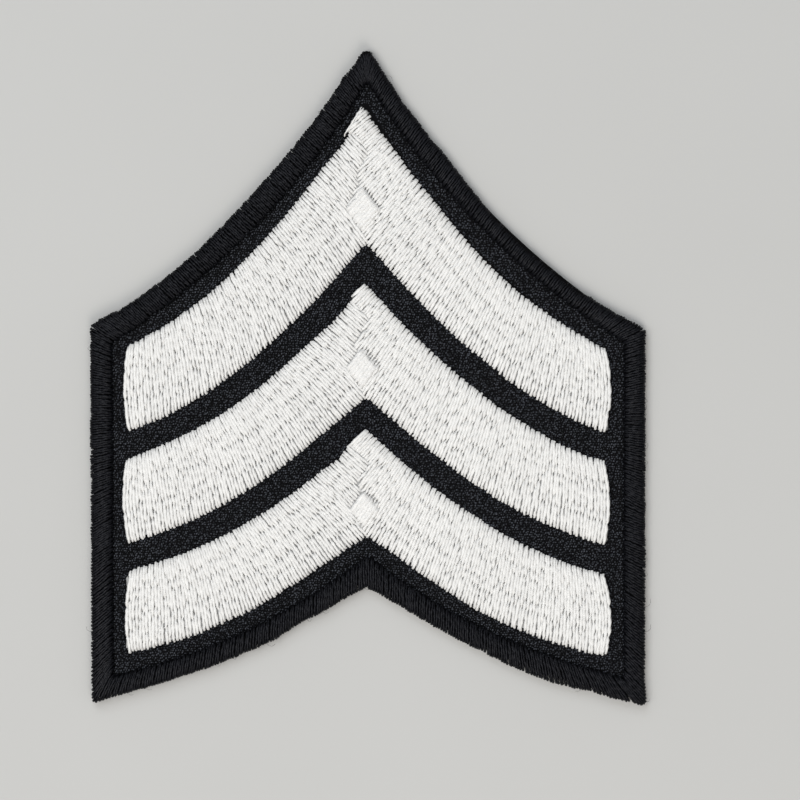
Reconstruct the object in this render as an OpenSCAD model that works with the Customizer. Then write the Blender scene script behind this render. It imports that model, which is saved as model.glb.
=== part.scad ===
// Rank chevron patch: a black cloth shield with a notched foot, a thick stitched border round its edge,
// and three white stitched chevrons, each made of a left and a right arm that meet on the middle line.
// It lies on its back: Z is up out of the stitched face, Y runs towards the point, and X to the right.

/* [Patch] */
// Width across the straight sides
patch_w = 68.4; // [60:0.2:80]
// Width of the blunt tip at the top
apex_w = 1.3; // [0.6:0.1:2]
// Rise of the notch over the foot, along the border's inner edge
notch_rise = 14.6; // [12:0.1:18]
// Radius of the two hollow top edges
top_edge_r = 96; // [80:0.5:160]
// Radius of the two full bottom edges
bottom_edge_r = 82.5; // [65:0.5:110]

/* [Ground cloth] */
// Thickness of the cloth with its backing
cloth_t = 1; // [1:0.1:2]

/* [Border] */
// Width of the stitched border, seen from above
border_w = 2.6; // [2.2:0.1:3.4]
// Height of the border above the cloth
border_rise = 1; // [0.6:0.05:1.6]
// Thread outside the cloth's cut edge
border_wall = 0.8; // [0.6:0.05:1.2]
// Radius of the border's rounded rims
border_rim = 0.8; // [0.2:0.05:0.9]

/* [Bare cloth] */
// Bare strip between the border and the ends of the arms
side_strip = 1.6; // [1:0.1:3]
// Bare height between the border and the upper chevron, on the middle line
top_strip_mid = 2.1; // [1.6:0.1:4]
// Bare height between the border and the upper chevron, at the ends of the arms
top_strip_end = 2.4; // [1.5:0.1:4]
// Bare height between the upper and middle chevrons, on the middle line
upper_gap_mid = 5.4; // [3.5:0.1:7]
// Bare height between the upper and middle chevrons, at the ends of the arms
upper_gap_end = 3.7; // [2.5:0.1:6]
// Bare height between the middle and lower chevrons, on the middle line
lower_gap_mid = 4.5; // [3.5:0.1:7]
// Bare height between the middle and lower chevrons, at the ends of the arms
lower_gap_end = 3.8; // [2.5:0.1:6]
// Bare height between the lower chevron and the border, on the middle line
bottom_strip_mid = 3.1; // [1.8:0.1:4]
// Bare height between the lower chevron and the border, at the ends of the arms
bottom_strip_end = 2.3; // [1.5:0.1:4]

/* [Chevron arms] */
// Height of the white thread above the cloth
arm_rise = 0.8; // [0.4:0.05:1.4]
// Radius of the arms' rounded rims
arm_rim = 0.4; // [0.1:0.05:0.6]
// Height of the upper chevron on the middle line
upper_mid_h = 17; // [12:0.1:20]
// Height of the upper chevron at the ends of its arms
upper_end_h = 10.1; // [7:0.1:13]
// Radius of the upper chevron's top edges
upper_top_r = 82; // [70:0.5:120]
// Radius of the upper chevron's bottom edges
upper_bottom_r = 72; // [60:0.5:100]
// Height of the middle chevron on the middle line
middle_mid_h = 13.7; // [10:0.1:17]
// Height of the middle chevron at the ends of its arms
middle_end_h = 10; // [7:0.1:13]
// Radius of the middle chevron's top edges
middle_top_r = 74; // [60:0.5:100]
// Radius of the middle chevron's bottom edges
middle_bottom_r = 67.5; // [55:0.5:95]
// Height of the lower chevron on the middle line
lower_mid_h = 12.7; // [9:0.1:16]
// Height of the lower chevron at the ends of its arms
lower_end_h = 9.7; // [7:0.1:13]
// Radius of the lower chevron's top edges
lower_top_r = 67.5; // [55:0.5:95]
// Radius of the lower chevron's bottom edges
lower_bottom_r = 62; // [52:0.5:90]

/* [Fits] */
// Gap between one piece and the next
clearance = 0.05; // [0.02:0.01:0.15]
// Gap between the left and right arms of a chevron
mitre_gap = 0.1; // [0.04:0.02:0.4]

/* [Hidden] */

// A curved edge is a row with these columns: its height on the middle line, its height at the ends of
// the arms, and its radius. Heights start at the foot end of the border's inner bottom edge.
MID = 0;
END = 1;
RADIUS = 2;

half_w = patch_w / 2;
arm_x = half_w - border_w - side_strip;

function edge_above(edge, mid_h, end_h, r) = [edge[MID] + mid_h, edge[END] + end_h, r];

window_bottom = [notch_rise, 0, bottom_edge_r - border_w];
lower_bottom = edge_above(window_bottom, bottom_strip_mid, bottom_strip_end, lower_bottom_r);
lower_top = edge_above(lower_bottom, lower_mid_h, lower_end_h, lower_top_r);
middle_bottom = edge_above(lower_top, lower_gap_mid, lower_gap_end, middle_bottom_r);
middle_top = edge_above(middle_bottom, middle_mid_h, middle_end_h, middle_top_r);
upper_bottom = edge_above(middle_top, upper_gap_mid, upper_gap_end, upper_bottom_r);
upper_top = edge_above(upper_bottom, upper_mid_h, upper_end_h, upper_top_r);
window_top = edge_above(upper_top, top_strip_mid, top_strip_end, top_edge_r + border_w);

// Centre of a right-hand edge: above the edge's chord, as far as its radius asks
function edge_centre(edge) =
    let (
        chord = [arm_x, edge[END] - edge[MID]],
        reach = sqrt(pow(edge[RADIUS], 2) - pow(norm(chord) / 2, 2)),
        up = [-chord.y, chord.x] / norm(chord)
    )
    [0, edge[MID]] + chord / 2 + up * reach;

// Height at x of a circle's lower side
function circle_y(centre, r, x) = centre.y - sqrt(r * r - pow(x - centre.x, 2));

top_centre = edge_centre(window_top);
bottom_centre = edge_centre(window_bottom);
apex_y = circle_y(top_centre, top_edge_r, apex_w / 2);
corner_y = circle_y(bottom_centre, bottom_edge_r, half_w);
middle_y = (apex_y + corner_y) / 2;

border_h = cloth_t + border_rise;
arm_z = cloth_t + clearance;

// A rim takes at most this share of the wall that it rounds
rim_share = 0.8;
outer_rim = min(border_rim, rim_share * border_rise, rim_share * border_w / 2);
thread_rim = min(arm_rim, rim_share * arm_rise);

// How far a cutting shape reaches past what it cuts, and the length of the bars that lie along Y
over = 1;
reach_y = 2 * (apex_y - corner_y);

// Facets of a whole edge circle and of a rim's circle
smooth = 240;
rim_smooth = 32;

// Side view of a wall of height h that ends at x = r with a rounded top rim
module full_profile(r, h, rim) {
    difference() {
        square([r, h]);
        translate([r - rim, h - rim])
            difference() {
                square(rim + over);
                circle(r = rim, $fn = rim_smooth);
            }
    }
}

// Side view of what is cut out in front of a wall that starts at x = r, so that its top rim is rounded
module hollow_profile(r, h, rim) {
    translate([0, -over])
        square([r, h + 2 * over]);
    translate([r - over, h - rim])
        difference() {
            square([over + rim, rim + over]);
            translate([over + rim, 0])
                circle(r = rim, $fn = rim_smooth);
        }
}

// Disc whose rounded rim follows a right-hand edge
module disc_at(centre, r, h, rim) {
    translate([centre.x, centre.y, 0])
        rotate_extrude($fn = smooth)
            full_profile(r, h, rim);
}

// Cutter that leaves a rounded rim outside a right-hand edge
module hollow_disc_at(centre, r, h, rim) {
    translate([centre.x, centre.y, 0])
        rotate_extrude($fn = smooth)
            hollow_profile(r, h, rim);
}

// Turns a side view drawn from x = 0 outwards into a long bar along Y
module along_y() {
    translate([0, reach_y / 2, 0])
        rotate([90, 0, 0])
            linear_extrude(height = reach_y)
                children();
}

// Plain upright disc that follows a right-hand edge, from z = low up to z = high
module plain_disc(centre, r, low, high) {
    translate([centre.x, centre.y, low])
        cylinder(h = high - low, r = r, $fn = smooth);
}

// Moves a shape from the heights of the edges to the patch's own middle
module centred() {
    translate([0, -middle_y, 0])
        children();
}

// A right half and its mirror image
module both_halves() {
    children();
    mirror([1, 0, 0])
        children();
}

// Right half of the patch's outline, taken in by inset, as a plain plate from z = low up to z = high
module half_plate(inset, low, high) {
    difference() {
        intersection() {
            plain_disc(bottom_centre, bottom_edge_r - inset, low, high);
            translate([0, corner_y - over, low])
                cube([half_w - inset, apex_y - inset - corner_y + over, high - low]);
        }
        plain_disc(top_centre, top_edge_r + inset, low - over, high + over);
    }
}

// Right half of the patch's outline with its rounded outer rim
module half_outline() {
    difference() {
        intersection() {
            disc_at(bottom_centre, bottom_edge_r, border_h, outer_rim);
            along_y()
                full_profile(half_w, border_h, outer_rim);
            translate([0, apex_y, 0])
                rotate([0, 0, 90])
                    translate([-reach_y, 0, 0])
                        along_y()
                            full_profile(reach_y, border_h, outer_rim);
        }
        hollow_disc_at(top_centre, top_edge_r, border_h, outer_rim);
    }
}

// Right half of the window inside the border, which rounds the border's inner rim
module half_window() {
    difference() {
        intersection() {
            hollow_disc_at(bottom_centre, bottom_edge_r - border_w, border_h, outer_rim);
            translate([-over, 0, 0])
                along_y()
                    hollow_profile(half_w - border_w + over, border_h, outer_rim);
        }
        translate([0, 0, -2 * over])
            disc_at(top_centre, top_edge_r + border_w, border_h + 2 * over, outer_rim);
    }
}

// Right-hand arm between two edges, with rounded rims along its edges and its end
module arm(top_edge, bottom_edge) {
    translate([0, 0, arm_z])
        difference() {
            intersection() {
                disc_at(edge_centre(bottom_edge), bottom_edge[RADIUS], arm_rise, thread_rim);
                along_y()
                    full_profile(arm_x, arm_rise, thread_rim);
            }
            hollow_disc_at(edge_centre(top_edge), top_edge[RADIUS], arm_rise, thread_rim);
            translate([-over, 0, -over])
                cube([over + mitre_gap / 2, reach_y, arm_rise + 2 * over]);
        }
}

// White thread of one arm, on the right, or mirrored to the left
module thread_arm(top_edge, bottom_edge, left = false) {
    color([0.93, 0.93, 0.92])
        centred()
            mirror([left ? 1 : 0, 0, 0])
                arm(top_edge, bottom_edge);
}

// Black cloth plate, whose cut edge lies inside the border
module ground_cloth() {
    color([0.07, 0.07, 0.085])
        centred()
            both_halves()
                half_plate(border_wall + clearance, 0, cloth_t);
}

// Black thread border: it stands on the cloth's face and wraps round its cut edge
module border() {
    color([0.1, 0.1, 0.11])
        centred()
            both_halves()
                difference() {
                    half_outline();
                    half_window();
                    half_plate(border_wall, -over, cloth_t + clearance);
                }
}

ground_cloth();
border();
thread_arm(upper_top, upper_bottom, left = true);  // upper_left_arm
thread_arm(upper_top, upper_bottom);  // upper_right_arm
thread_arm(middle_top, middle_bottom, left = true);  // middle_left_arm
thread_arm(middle_top, middle_bottom);  // middle_right_arm
thread_arm(lower_top, lower_bottom, left = true);  // lower_left_arm
thread_arm(lower_top, lower_bottom);  // lower_right_arm
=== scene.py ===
"""Looks of the rank chevron patch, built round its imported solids.

The patch lies on its back: Z is up out of the stitched face, Y runs towards the point and X to the right.
Sizes are in millimetres and angles in degrees, and each finished mesh is brought to metres as it is baked.
"""

import logging
import math
from collections.abc import Callable, Iterable, Sequence
from dataclasses import dataclass, field
from enum import Enum
from functools import cache

import bmesh
import bpy
import numpy as np
from mathutils import Matrix, Vector


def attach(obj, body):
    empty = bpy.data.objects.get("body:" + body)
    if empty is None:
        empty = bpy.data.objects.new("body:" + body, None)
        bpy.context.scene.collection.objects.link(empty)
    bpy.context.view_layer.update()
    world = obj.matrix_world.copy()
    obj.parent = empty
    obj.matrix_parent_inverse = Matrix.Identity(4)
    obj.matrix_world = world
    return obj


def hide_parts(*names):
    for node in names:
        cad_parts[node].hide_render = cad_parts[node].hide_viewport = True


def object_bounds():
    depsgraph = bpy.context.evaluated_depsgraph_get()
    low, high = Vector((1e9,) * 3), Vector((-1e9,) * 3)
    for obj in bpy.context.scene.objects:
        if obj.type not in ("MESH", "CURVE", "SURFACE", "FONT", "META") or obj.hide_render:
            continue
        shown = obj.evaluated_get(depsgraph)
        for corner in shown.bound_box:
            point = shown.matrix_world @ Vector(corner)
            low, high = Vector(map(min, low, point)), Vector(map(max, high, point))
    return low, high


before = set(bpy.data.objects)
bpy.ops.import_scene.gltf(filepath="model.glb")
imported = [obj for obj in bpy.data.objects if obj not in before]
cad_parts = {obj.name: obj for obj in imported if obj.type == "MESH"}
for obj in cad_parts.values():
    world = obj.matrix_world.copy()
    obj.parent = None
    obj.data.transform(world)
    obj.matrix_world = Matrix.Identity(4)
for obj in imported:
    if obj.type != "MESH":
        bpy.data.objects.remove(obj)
CAD_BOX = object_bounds()

LOG = logging.getLogger("patch")

MM = 0.001
BODY = "root"

Triple = tuple[float, float, float]
Pairs = tuple[tuple[float, float], ...]

# What an input of a node takes
Value = "Field | float | int | bool | str | tuple | bpy.types.ID"


# Node trees


def operator(operation: str, flipped: bool = False) -> "Callable[[Field, Value], Field]":
    """Makes a method of fields that adds one Math node.

    Args:
        operation: The node's operation.
        flipped: Whether the field comes second in it.

    Returns:
        The method.
    """

    def method(self: "Field", other: Value) -> "Field":
        """Result of the operation on this field and another value."""
        return self.graph.math(operation, *((other, self) if flipped else (self, other)))

    return method


class Field:
    """A value that a node tree works out, with arithmetic that adds nodes to the tree."""

    __add__ = operator("ADD")
    __radd__ = operator("ADD", flipped=True)
    __sub__ = operator("SUBTRACT")
    __rsub__ = operator("SUBTRACT", flipped=True)
    __mul__ = operator("MULTIPLY")
    __rmul__ = operator("MULTIPLY", flipped=True)
    __truediv__ = operator("DIVIDE")

    def __init__(self, graph: "Graph", socket: bpy.types.NodeSocket) -> None:
        """Keeps the tree and the output socket that the value comes from."""
        self.graph = graph
        self.socket = socket

    def clamped(self) -> "Field":
        """The number, kept from 0 to 1."""
        return self.graph.out("ShaderNodeMath", 0, {0: self, 1: 0.0}, operation="ADD", use_clamp=True)

    def eased(self) -> "Field":
        """The number, kept from 0 to 1, with a soft start and a soft end."""
        held = self.clamped()
        return held * held * (3.0 - 2.0 * held)


class Graph:
    """Adds nodes to a tree and joins them, so that a tree reads as a formula."""

    SOCKETS = {float: "Float", int: "Int", tuple: "Vector"}

    def __init__(self, tree: bpy.types.NodeTree) -> None:
        """Starts work on a tree."""
        self.tree = tree
        self.source: bpy.types.Node | None = None

    @classmethod
    def group(cls, name: str, kind: str, inputs: dict[str, Value], outputs: dict[str, str]) -> "Graph":
        """Makes a node group with named sockets.

        Args:
            name: The group's name.
            kind: Geometry or Shader.
            inputs: Each input's default value by its name, or its type where it has no default.
            outputs: Each output's type, by its name.

        Returns:
            The graph of the new group.
        """
        tree = bpy.data.node_groups.new(name, kind + "NodeTree")
        for label, default in inputs.items():
            bare = isinstance(default, str)
            sort = "NodeSocket" + (default if bare else cls.SOCKETS[type(default)])
            socket = tree.interface.new_socket(label, in_out="INPUT", socket_type=sort)
            if not bare:
                socket.default_value = default
        for label, sort in outputs.items():
            tree.interface.new_socket(label, in_out="OUTPUT", socket_type="NodeSocket" + sort)
        graph = cls(tree)
        graph.source = tree.nodes.new("NodeGroupInput")
        return graph

    def __getitem__(self, label: str) -> Field:
        """The group's input of that name."""
        return Field(self, self.source.outputs[label])

    @staticmethod
    def _find(sockets: Iterable[bpy.types.NodeSocket], key: str | int) -> bpy.types.NodeSocket:
        """Finds an input or an output of a node.

        Args:
            sockets: The node's inputs or its outputs.
            key: The socket's place among them, its identifier or its name.

        Returns:
            The socket.
        """
        listed = list(sockets)
        if isinstance(key, int):
            return listed[key]
        exact = [socket for socket in listed if socket.identifier == key]
        return exact[0] if exact else next(s for s in listed if s.name == key and s.enabled)

    def node(self, kind: str, inputs: dict | None = None, **settings: object) -> bpy.types.Node:
        """Adds a node.

        Args:
            kind: The node's type.
            inputs: What each input takes: a value or a field.
            settings: The node's own properties.

        Returns:
            The node.
        """
        made = self.tree.nodes.new(kind)
        for name, value in settings.items():
            setattr(made, name, value)
        for key, value in (inputs or {}).items():
            socket = self._find(made.inputs, key)
            if isinstance(value, Field):
                self.tree.links.new(value.socket, socket)
            else:
                socket.default_value = value
        return made

    def out(self, kind: str, output: str | int, inputs: dict | None = None, **settings: object) -> Field:
        """One output of a new node, which is otherwise described as for node()."""
        made = self.node(kind, inputs, **settings)
        return Field(self, self._find(made.outputs, output))

    def shape(self, kind: str, output: str, inputs: dict, **settings: object) -> Field:
        """One output of a new geometry node, whose type is given without what all of them start with."""
        return self.out("GeometryNode" + kind, output, inputs, **settings)

    def changed(self, kind: str, geometry: Field, inputs: dict | None = None, **settings: object) -> Field:
        """Geometry that one more geometry node has changed."""
        return self.shape(kind, "Geometry", {"Geometry": geometry} | (inputs or {}), **settings)

    def kept(self, geometry: Field, name: str, value: Field, kind: str = "FLOAT") -> Field:
        """Geometry that has a value stored on its points."""
        return self.changed("StoreNamedAttribute", geometry, {"Name": name, "Value": value}, data_type=kind)

    def stored(self, name: str, kind: str = "FLOAT") -> Field:
        """A value that is stored on the geometry's points."""
        return self.out("GeometryNodeInputNamedAttribute", 0, {"Name": name}, data_type=kind)

    def place(self) -> Field:
        """Where the geometry's points are."""
        return self.out("GeometryNodeInputPosition", 0)

    def finished(self, label: str, geometry: Field) -> bpy.types.NodeTree:
        """Smooths the geometry, makes it real and gives it the group's finish.

        Args:
            label: The group's output that the geometry goes to.
            geometry: What the group has made.

        Returns:
            The group.
        """
        geometry = self.changed("SetShadeSmooth", geometry)
        geometry = self.changed("RealizeInstances", geometry)
        self.send(label, self.changed("SetMaterial", geometry, {"Material": self["Finish"]}))
        return self.tree

    def math(self, operation: str, *values: Value) -> Field:
        """A number worked out from others by one Math node."""
        return self.out("ShaderNodeMath", 0, dict(enumerate(values)), operation=operation)

    def vector(self, operation: str, *values: Value, output: str = "Vector") -> Field:
        """A vector or number worked out from vectors by one Vector Math node."""
        return self.out("ShaderNodeVectorMath", output, dict(enumerate(values)), operation=operation)

    def scaled(self, direction: Field, amount: Value) -> Field:
        """A vector times a number."""
        return self.out("ShaderNodeVectorMath", "Vector", {0: direction, "Scale": amount}, operation="SCALE")

    def combined(self, x: Value, y: Value, z: Value) -> Field:
        """A vector from its three numbers."""
        return self.out("ShaderNodeCombineXYZ", 0, {"X": x, "Y": y, "Z": z})

    def separated(self, value: Field) -> list[Field]:
        """A vector's three numbers."""
        return [Field(self, socket) for socket in self.node("ShaderNodeSeparateXYZ", {0: value}).outputs]

    def noise(self, place: Field, scale: Value = 1.0, detail: float = 1.0) -> Field:
        """Smooth noise from 0 to 1, about 0.5 on average."""
        return self.out("ShaderNodeTexNoise", 0, {"Vector": place, "Scale": scale, "Detail": detail})

    def chance(self, number: Value) -> Field:
        """A value from 0 to 1 that is the same for the same number, and looks random between numbers."""
        return self.out("ShaderNodeTexWhiteNoise", "Value", {"W": number}, noise_dimensions="1D")

    def send(self, label: str, value: Field) -> None:
        """Joins a value to an output of the group.

        Args:
            label: The output's name.
            value: What it gives.
        """
        outputs = [n for n in self.tree.nodes if n.bl_idname == "NodeGroupOutput"]
        sink = outputs[0] if outputs else self.tree.nodes.new("NodeGroupOutput")
        self.tree.links.new(value.socket, sink.inputs[label])


# Names of what the carriers store for the trees, and the trees for the finishes
ROW = "row"
ALONG = "along"
SPAN = "span"
BOW = "bow"
GIRTH = "girth"
PLY = "ply"
TONE = "tone"
CENTRE = "centre"


class Salt:
    """Factors that keep apart the things that are left to chance."""

    SEED = 131.0
    HALF = 3.7
    STAGGER = 6.1
    PIT = 17.3
    STRAY = 11.9
    STRAY_UP = 13.3
    STRAY_UP_ROW = 1.3
    SIDEWAYS = 7.31
    UPWARDS = 5.17
    APART = 9.0
    TONE = 1.9
    TWIST = 2.3
    FLOAT_PLACE = (1.31, 2.77, 3.19)
    FLOAT_TONE = 5.3
    FLOAT_TURN = 4.3


# Half the thickness of a thread's waist between its two plies, and what the plies add to it, both as shares
# of half its width
PLY_WAIST = 0.72
PLY_SWELL = 0.34

# How far a thread's twist strays from even, in turns, and how coarse that is
TWIST_STRAY = 0.9
TWIST_COARSENESS = 0.5

# Share of the rows whose first stitch is only half as long, and how much of a stitch is left to chance
HALF_STARTS = 0.3
STAGGER_CHANCE = 0.05

# Depth of the shallowest pit, as a share of the deepest
LEAST_PIT = 0.65

# Share of its width that a thread loses where the needle takes it down, on the seam, and where it ends, and
# that it gains where it lies calm
PIT_NARROWING = 0.44
SEAM_NARROWING = 0.6
END_NARROWING = 0.25
END_CURVE = 1.5
CALM_WIDENING = 0.65

# Where a calm diamond's edge starts to fade, as a share of its half width, how fast, and how far it steadies
# a thread
CALM_EDGE = 1.15
CALM_FADE = 4.0
CALM_STEADYING = 0.7

# Half the width of a seam
SEAM_REACH = 0.34

# What brings noise about its average to full size, and how far a stitch strays up, as a share of sideways
NOISE_GAIN = 4.0
BELLY_GAIN = 2.0
STRAY_UP_SHARE = 0.7


@cache
def thread_tree() -> bpy.types.NodeTree:
    """Geometry tree that lays a thread along each row of a carrier.

    A thread is two plies that turn round each other. It wanders a little from side to side and up and down.
    It goes down into a pit where a stitch ends and the next one starts, over a rim at both ends, and lies
    calm and high where two arms overlap.

    Returns:
        The tree.
    """
    inputs = {
        "Carrier": "Geometry", "Finish": "Material", "Seed": 0, "Sides": 6,
        "Sample Step": 0.25, "Thread Width": 0.4, "Flatness": 1.0, "Twist Pitch": 2.2,
        "Stitch Length": 3.2, "Stitch Lean": 0.0, "Stitch Stray": 0.0, "Pit Length": 0.6, "Pit Depth": 0.0,
        "Wander": 0.0, "Wander Pitch": 2.0, "Unevenness": 0.0, "Rim Reach": 0.5, "Rim Drop": 0.0,
        "Calm Centre": (0.0, 0.0, 0.0), "Calm Half Width": 0.001, "Calm Half Height": 0.001,
        "Calm Rise": 0.0, "Seam Start": (0.0, 0.0, 0.0), "Seam End": (0.0, 1.0, 0.0), "Seam Depth": 0.0,
    }
    graph = Graph.group("thread_rows", "Geometry", inputs, {"Threads": "Geometry"})
    curve = graph.shape("MeshToCurve", "Curve", {"Mesh": graph["Carrier"]})
    curve = graph.shape(
        "ResampleCurve", "Curve", {"Curve": curve, "Length": graph["Sample Step"]}, mode="LENGTH"
    )
    row, along, span, bow, girth = (graph.stored(name) for name in (ROW, ALONG, SPAN, BOW, GIRTH))
    seeded = row + graph["Seed"] * Salt.SEED
    place = graph.place()

    # How calm it is here: 1 in the middle of a diamond, 0 outside it
    from_calm = graph.vector("ABSOLUTE", graph.vector("SUBTRACT", place, graph["Calm Centre"]))
    calm_x, calm_y, _ = graph.separated(from_calm)
    reach = calm_x / graph["Calm Half Width"] + calm_y / graph["Calm Half Height"]
    calm = ((CALM_EDGE - reach) * CALM_FADE).eased()
    lively = 1.0 - calm

    # The rim at both ends
    over = (1.0 - graph.math("MINIMUM", along, span - along) / graph["Rim Reach"]).clamped()
    drop = (1.0 - graph.math("SQRT", 1.0 - over * over)) * graph["Rim Drop"]

    # Pits at the ends of the stitches. Rows are sewn to and fro, so every other one starts at the far end
    sewn = along + (span - 2.0 * along) * graph.math("MODULO", row, 2.0)
    half = graph.math("LESS_THAN", graph.chance(seeded * Salt.HALF), HALF_STARTS) * 0.5
    stagger = (graph.chance(seeded * Salt.STAGGER) - 0.5) * STAGGER_CHANCE
    phase = sewn / graph["Stitch Length"] + half + stagger
    turn = graph.math("FRACT", phase)
    to_end = (0.5 - graph.math("ABSOLUTE", turn - 0.5)) * graph["Stitch Length"]
    luck = graph.chance(graph.math("FLOOR", phase + 0.5) * Salt.PIT + seeded)
    strength = LEAST_PIT + (1.0 - LEAST_PIT) * luck
    pit = (1.0 - to_end / graph["Pit Length"]).eased() * strength * lively * (1.0 - over)

    # Pits along the seam where the other arm's rows end
    line = graph.vector("SUBTRACT", graph["Seam End"], graph["Seam Start"])
    offset = graph.vector("SUBTRACT", place, graph["Seam Start"])
    share = (
        graph.vector("DOT_PRODUCT", offset, line, output="Value")
        / graph.vector("DOT_PRODUCT", line, line, output="Value")
    ).clamped()
    aside = graph.vector("SUBTRACT", offset, graph.scaled(line, share))
    level = graph.vector("MULTIPLY", aside, (1.0, 1.0, 0.0))
    seam = (1.0 - graph.vector("LENGTH", level, output="Value") / SEAM_REACH).eased()
    seam = seam * graph.math("GREATER_THAN", graph["Seam Depth"], 0.0)
    depth = pit * graph["Pit Depth"] + seam * graph["Seam Depth"]
    narrow = graph.math("MAXIMUM", pit * PIT_NARROWING, seam * SEAM_NARROWING)

    # Each stitch strays in its middle, and the whole row wanders to the side, and up and down
    stitch = graph.math("FLOOR", phase)
    belly = graph.math("SINE", turn * math.pi) * graph["Stitch Stray"] * BELLY_GAIN
    stray = (graph.chance(stitch * Salt.STRAY + seeded) - 0.5) * belly
    stray_up = (graph.chance(stitch * Salt.STRAY_UP + seeded * Salt.STRAY_UP_ROW) - 0.5) * belly
    path = graph.combined(seeded * Salt.SIDEWAYS, along / graph["Wander Pitch"], 0.0)
    other = graph.combined(seeded * Salt.UPWARDS, along / graph["Wander Pitch"], Salt.APART)
    sideways = (graph.noise(path) - 0.5) * graph["Wander"] * NOISE_GAIN * (1.0 - CALM_STEADYING * calm)
    sideways = sideways + ((turn - 0.5) * graph["Stitch Lean"] + stray) * lively
    sideways = sideways + bow * graph.math("SINE", along / span * math.pi)
    lift = (graph.noise(other) - 0.5) * graph["Unevenness"] * NOISE_GAIN + calm * graph["Calm Rise"]
    lift = lift + stray_up * lively * STRAY_UP_SHARE
    tangent = graph.out("GeometryNodeInputTangent", 0)
    lateral = graph.scaled(graph.vector("CROSS_PRODUCT", tangent, (0.0, 0.0, 1.0)), sideways)
    move = graph.vector("ADD", lateral, graph.combined(0.0, 0.0, lift - depth - drop))
    curve = graph.changed("SetPosition", curve, {"Offset": move})
    curve = graph.kept(curve, TONE, graph.chance(seeded * Salt.TONE))
    curve = graph.kept(curve, CENTRE, graph.place(), "FLOAT_VECTOR")

    # The twist of the two plies
    turns = along / graph["Twist Pitch"] + graph.chance(seeded * Salt.TWIST)
    turns = turns + graph.noise(other, TWIST_COARSENESS) * TWIST_STRAY
    curve = graph.shape("SetCurveTilt", "Curve", {"Curve": curve, "Tilt": turns * math.tau})

    # Section with a waist between the plies, swept along each row
    section = graph.shape("CurvePrimitiveCircle", "Curve", {"Resolution": graph["Sides"], "Radius": 1.0})
    across, up, _ = graph.separated(graph.place())
    pinched = graph.combined(across, up * (PLY_WAIST + PLY_SWELL * across * across), 0.0)
    section = graph.changed("SetPosition", section, {"Position": pinched})
    section = graph.kept(section, PLY, graph.place(), "FLOAT_VECTOR")
    ends = graph.math("POWER", over, END_CURVE) * END_NARROWING
    width = (1.0 - narrow) * (1.0 - ends) * (1.0 + calm * CALM_WIDENING)
    width = width * girth * graph["Thread Width"] * 0.5
    sweep = {"Curve": curve, "Profile Curve": section, "Scale": width, "Fill Caps": True}
    mesh = graph.shape("CurveToMesh", "Mesh", sweep)

    # The neighbours press the thread flat
    centre = graph.stored(CENTRE, "FLOAT_VECTOR")
    from_centre = graph.vector("SUBTRACT", graph.place(), centre)
    pressed = graph.vector("MULTIPLY", from_centre, graph.combined(1.0, 1.0, graph["Flatness"]))
    mesh = graph.changed("SetPosition", mesh, {"Position": graph.vector("ADD", centre, pressed)})
    return graph.finished("Threads", graph.changed("RemoveAttribute", mesh, {"Name": CENTRE}))


def weave_tree() -> bpy.types.NodeTree:
    """Geometry tree that covers a flat carrier with the floats of a twill weave.

    Returns:
        The tree.
    """
    inputs = {
        "Carrier": "Geometry", "Finish": "Material", "Seed": 0, "Float Sides": 5, "Float Rings": 2,
        "Field Width": 66.0, "Field Length": 80.0, "Pitch Across": 0.46, "Pitch Along": 0.36,
        "Row Shift": 0.34, "Float Size": (0.5, 0.34, 0.24), "Lean": 0.4, "Lean Chance": 0.5,
        "Jitter": 0.05, "Lift": 1.0, "Ray Length": 10.0,
    }
    graph = Graph.group("woven_floats", "Geometry", inputs, {"Floats": "Geometry"})
    across, along = graph["Pitch Across"], graph["Pitch Along"]
    width, length = graph["Field Width"], graph["Field Length"]
    size = {"Size X": width, "Size Y": length, "Vertices X": width / across, "Vertices Y": length / along}
    grid = graph.shape("MeshGrid", "Mesh", size)
    place = graph.place()
    row = graph.math("ROUND", graph.separated(place)[1] / along)
    shift = graph.math("FRACT", row * graph["Row Shift"]) * across
    index = graph.out("GeometryNodeInputIndex", 0)
    x, y, z = (
        (graph.chance(index * salt + graph["Seed"]) - 0.5) * graph["Jitter"] for salt in Salt.FLOAT_PLACE
    )
    offset = graph.combined(shift + x, y, graph["Lift"] + z)
    grid = graph.changed("SetPosition", grid, {"Offset": offset})
    ray = {"Source Position": place, "Ray Direction": (0.0, 0.0, -1.0), "Ray Length": graph["Ray Length"]}
    over_cloth = graph.shape("Raycast", "Is Hit", {"Target Geometry": graph["Carrier"]} | ray)
    points = graph.shape("MeshToPoints", "Points", {"Mesh": grid, "Selection": over_cloth})
    # A random value per float: it sets the float's tone and picks the floats that get the yarn's painted
    # glints
    points = graph.kept(points, TONE, graph.chance(index * Salt.FLOAT_TONE + graph["Seed"]))
    ball = {"Segments": graph["Float Sides"], "Rings": graph["Float Rings"], "Radius": 0.5}
    grain = graph.shape("MeshUVSphere", "Mesh", ball)
    grain = graph.changed("Transform", grain, {"Rotation": (0.0, math.pi / 2, 0.0)})
    turn = graph["Lean"] + (graph.chance(index * Salt.FLOAT_TURN) - 0.5) * graph["Lean Chance"]
    copies = {"Points": points, "Instance": grain, "Scale": graph["Float Size"]}
    copies["Rotation"] = graph.combined(0.0, 0.0, turn)
    return graph.finished("Floats", graph.shape("InstanceOnPoints", "Instances", copies))


# Finishes


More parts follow.
